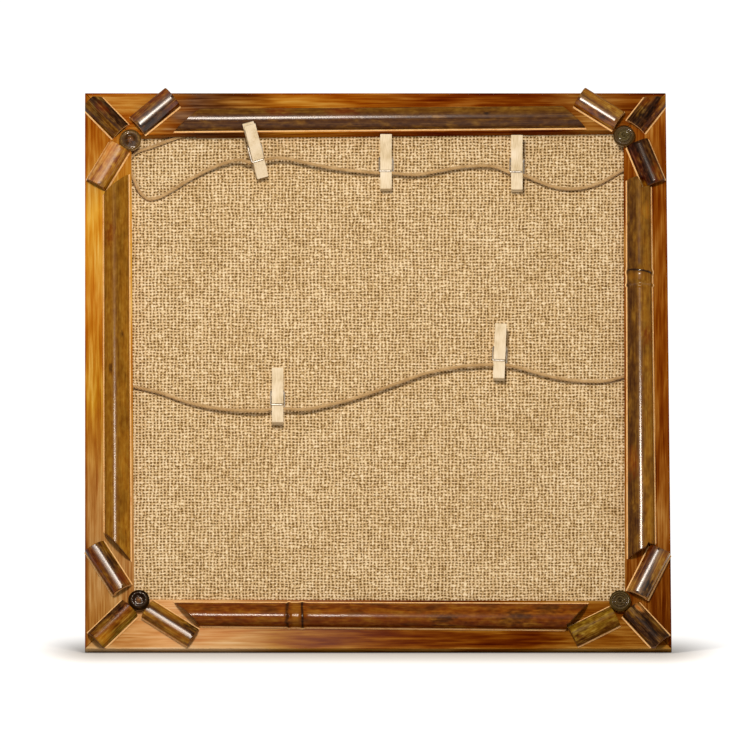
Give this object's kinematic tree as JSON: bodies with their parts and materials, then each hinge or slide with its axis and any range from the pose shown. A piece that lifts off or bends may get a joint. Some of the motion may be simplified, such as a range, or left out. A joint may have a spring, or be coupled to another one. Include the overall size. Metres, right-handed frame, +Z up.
{
  "type": "bamboo photo display board",
  "caption": "Square leaning bamboo frame with split-bamboo trim and fanned corner tubes, a burlap face crossed by sagging twines with sprung clips, and a folding rear strut.",
  "frame": {"origin": "on the floor, under the middle of the bounding box of the standing board", "axes": "+Z up, -Y towards the viewer, +X to the viewer's right"},
  "size_m": [0.3588, 0.1366, 0.3423],
  "materials": {
    "board_bamboo": "gloss",
    "burnt_bamboo": "gloss",
    "mottled_bamboo": "gloss",
    "dark_wood": "gloss",
    "burlap": "matte",
    "jute": "matte",
    "birch": "matte",
    "spring_steel": "satin",
    "zinc_steel": "satin",
    "hardboard": "matte",
    "strut_wood": "satin"
  },
  "bodies": {
    "board": {"base_board_left": "board_bamboo", "half_round_left": "burnt_bamboo", "base_board_top": "board_bamboo", "half_round_top": "burnt_bamboo", "base_board_right": "board_bamboo", "half_round_right": "burnt_bamboo", "base_board_bottom": "board_bamboo", "half_round_bottom": "burnt_bamboo", "petal_top_left_diagonal": "mottled_bamboo", "petal_top_left_upper": "mottled_bamboo", "petal_top_left_lower": "mottled_bamboo", "button_top_left": "dark_wood", "petal_top_right_upper": "mottled_bamboo", "petal_top_right_diagonal": "mottled_bamboo", "petal_top_right_lower": "mottled_bamboo", "button_top_right": "dark_wood", "petal_bottom_left_upper": "mottled_bamboo", "petal_bottom_left_diagonal": "mottled_bamboo", "petal_bottom_left_lower": "mottled_bamboo", "button_bottom_left": "dark_wood", "petal_bottom_right_upper": "mottled_bamboo", "petal_bottom_right_diagonal": "mottled_bamboo", "petal_bottom_right_lower": "mottled_bamboo", "button_bottom_right": "dark_wood", "burlap_sheet": "burlap", "backing_panel": "hardboard", "twine_upper": "jute", "twine_lower": "jute", "clip_1_rear_leg": "birch", "clip_1_spring": "spring_steel", "clip_2_rear_leg": "birch", "clip_2_spring": "spring_steel", "clip_3_rear_leg": "birch", "clip_3_spring": "spring_steel", "clip_4_rear_leg": "birch", "clip_4_spring": "spring_steel", "clip_5_rear_leg": "birch", "clip_5_spring": "spring_steel", "strut_bracket": "zinc_steel", "strut_pin": "zinc_steel", "bracket_rivet_1": "zinc_steel", "bracket_rivet_2": "zinc_steel"},
    "clip_1_jaw": {"clip_1_front_leg": "birch"},
    "clip_2_jaw": {"clip_2_front_leg": "birch"},
    "clip_3_jaw": {"clip_3_front_leg": "birch"},
    "clip_4_jaw": {"clip_4_front_leg": "birch"},
    "clip_5_jaw": {"clip_5_front_leg": "birch"},
    "strut": {"strut": "strut_wood"}
  },
  "joints": [
    {"name": "clip_1_open", "type": "hinge", "parent": "board", "child": "clip_1_jaw", "pos_m": [-0.07517, 0.03752, 0.30637], "axis": [-0.9613, -0.0897, -0.2606], "range_deg": [0, 15], "stiffness_Nm_per_rad": 0.1, "springref_deg": -20.05, "deforming": ["clip_1_spring"]},
    {"name": "clip_2_open", "type": "hinge", "parent": "board", "child": "clip_2_jaw", "pos_m": [0.00498, 0.04285, 0.29842], "axis": [-1, 0, 0], "range_deg": [0, 15], "stiffness_Nm_per_rad": 0.1, "springref_deg": -20.05, "deforming": ["clip_2_spring"]},
    {"name": "clip_3_open", "type": "hinge", "parent": "board", "child": "clip_3_jaw", "pos_m": [0.08488, 0.04267, 0.2979], "axis": [-1, 0, 0], "range_deg": [0, 15], "stiffness_Nm_per_rad": 0.1, "springref_deg": -20.05, "deforming": ["clip_3_spring"]},
    {"name": "clip_4_open", "type": "hinge", "parent": "board", "child": "clip_4_jaw", "pos_m": [-0.06122, -0.00583, 0.15704], "axis": [-1, 0, 0], "range_deg": [0, 15], "stiffness_Nm_per_rad": 0.1, "springref_deg": -20.05, "deforming": ["clip_4_spring"]},
    {"name": "clip_5_open", "type": "hinge", "parent": "board", "child": "clip_5_jaw", "pos_m": [0.07452, 0.00338, 0.18379], "axis": [-0.9993, 0.0125, 0.0363], "range_deg": [0, 15], "stiffness_Nm_per_rad": 0.1, "springref_deg": -20.05, "deforming": ["clip_5_spring"]},
    {"name": "strut_fold", "type": "hinge", "parent": "board", "child": "strut", "pos_m": [-0.00062, 0.02539, 0.20492], "axis": [-1, 0, 0], "range_deg": [0, 30]}
  ]
}
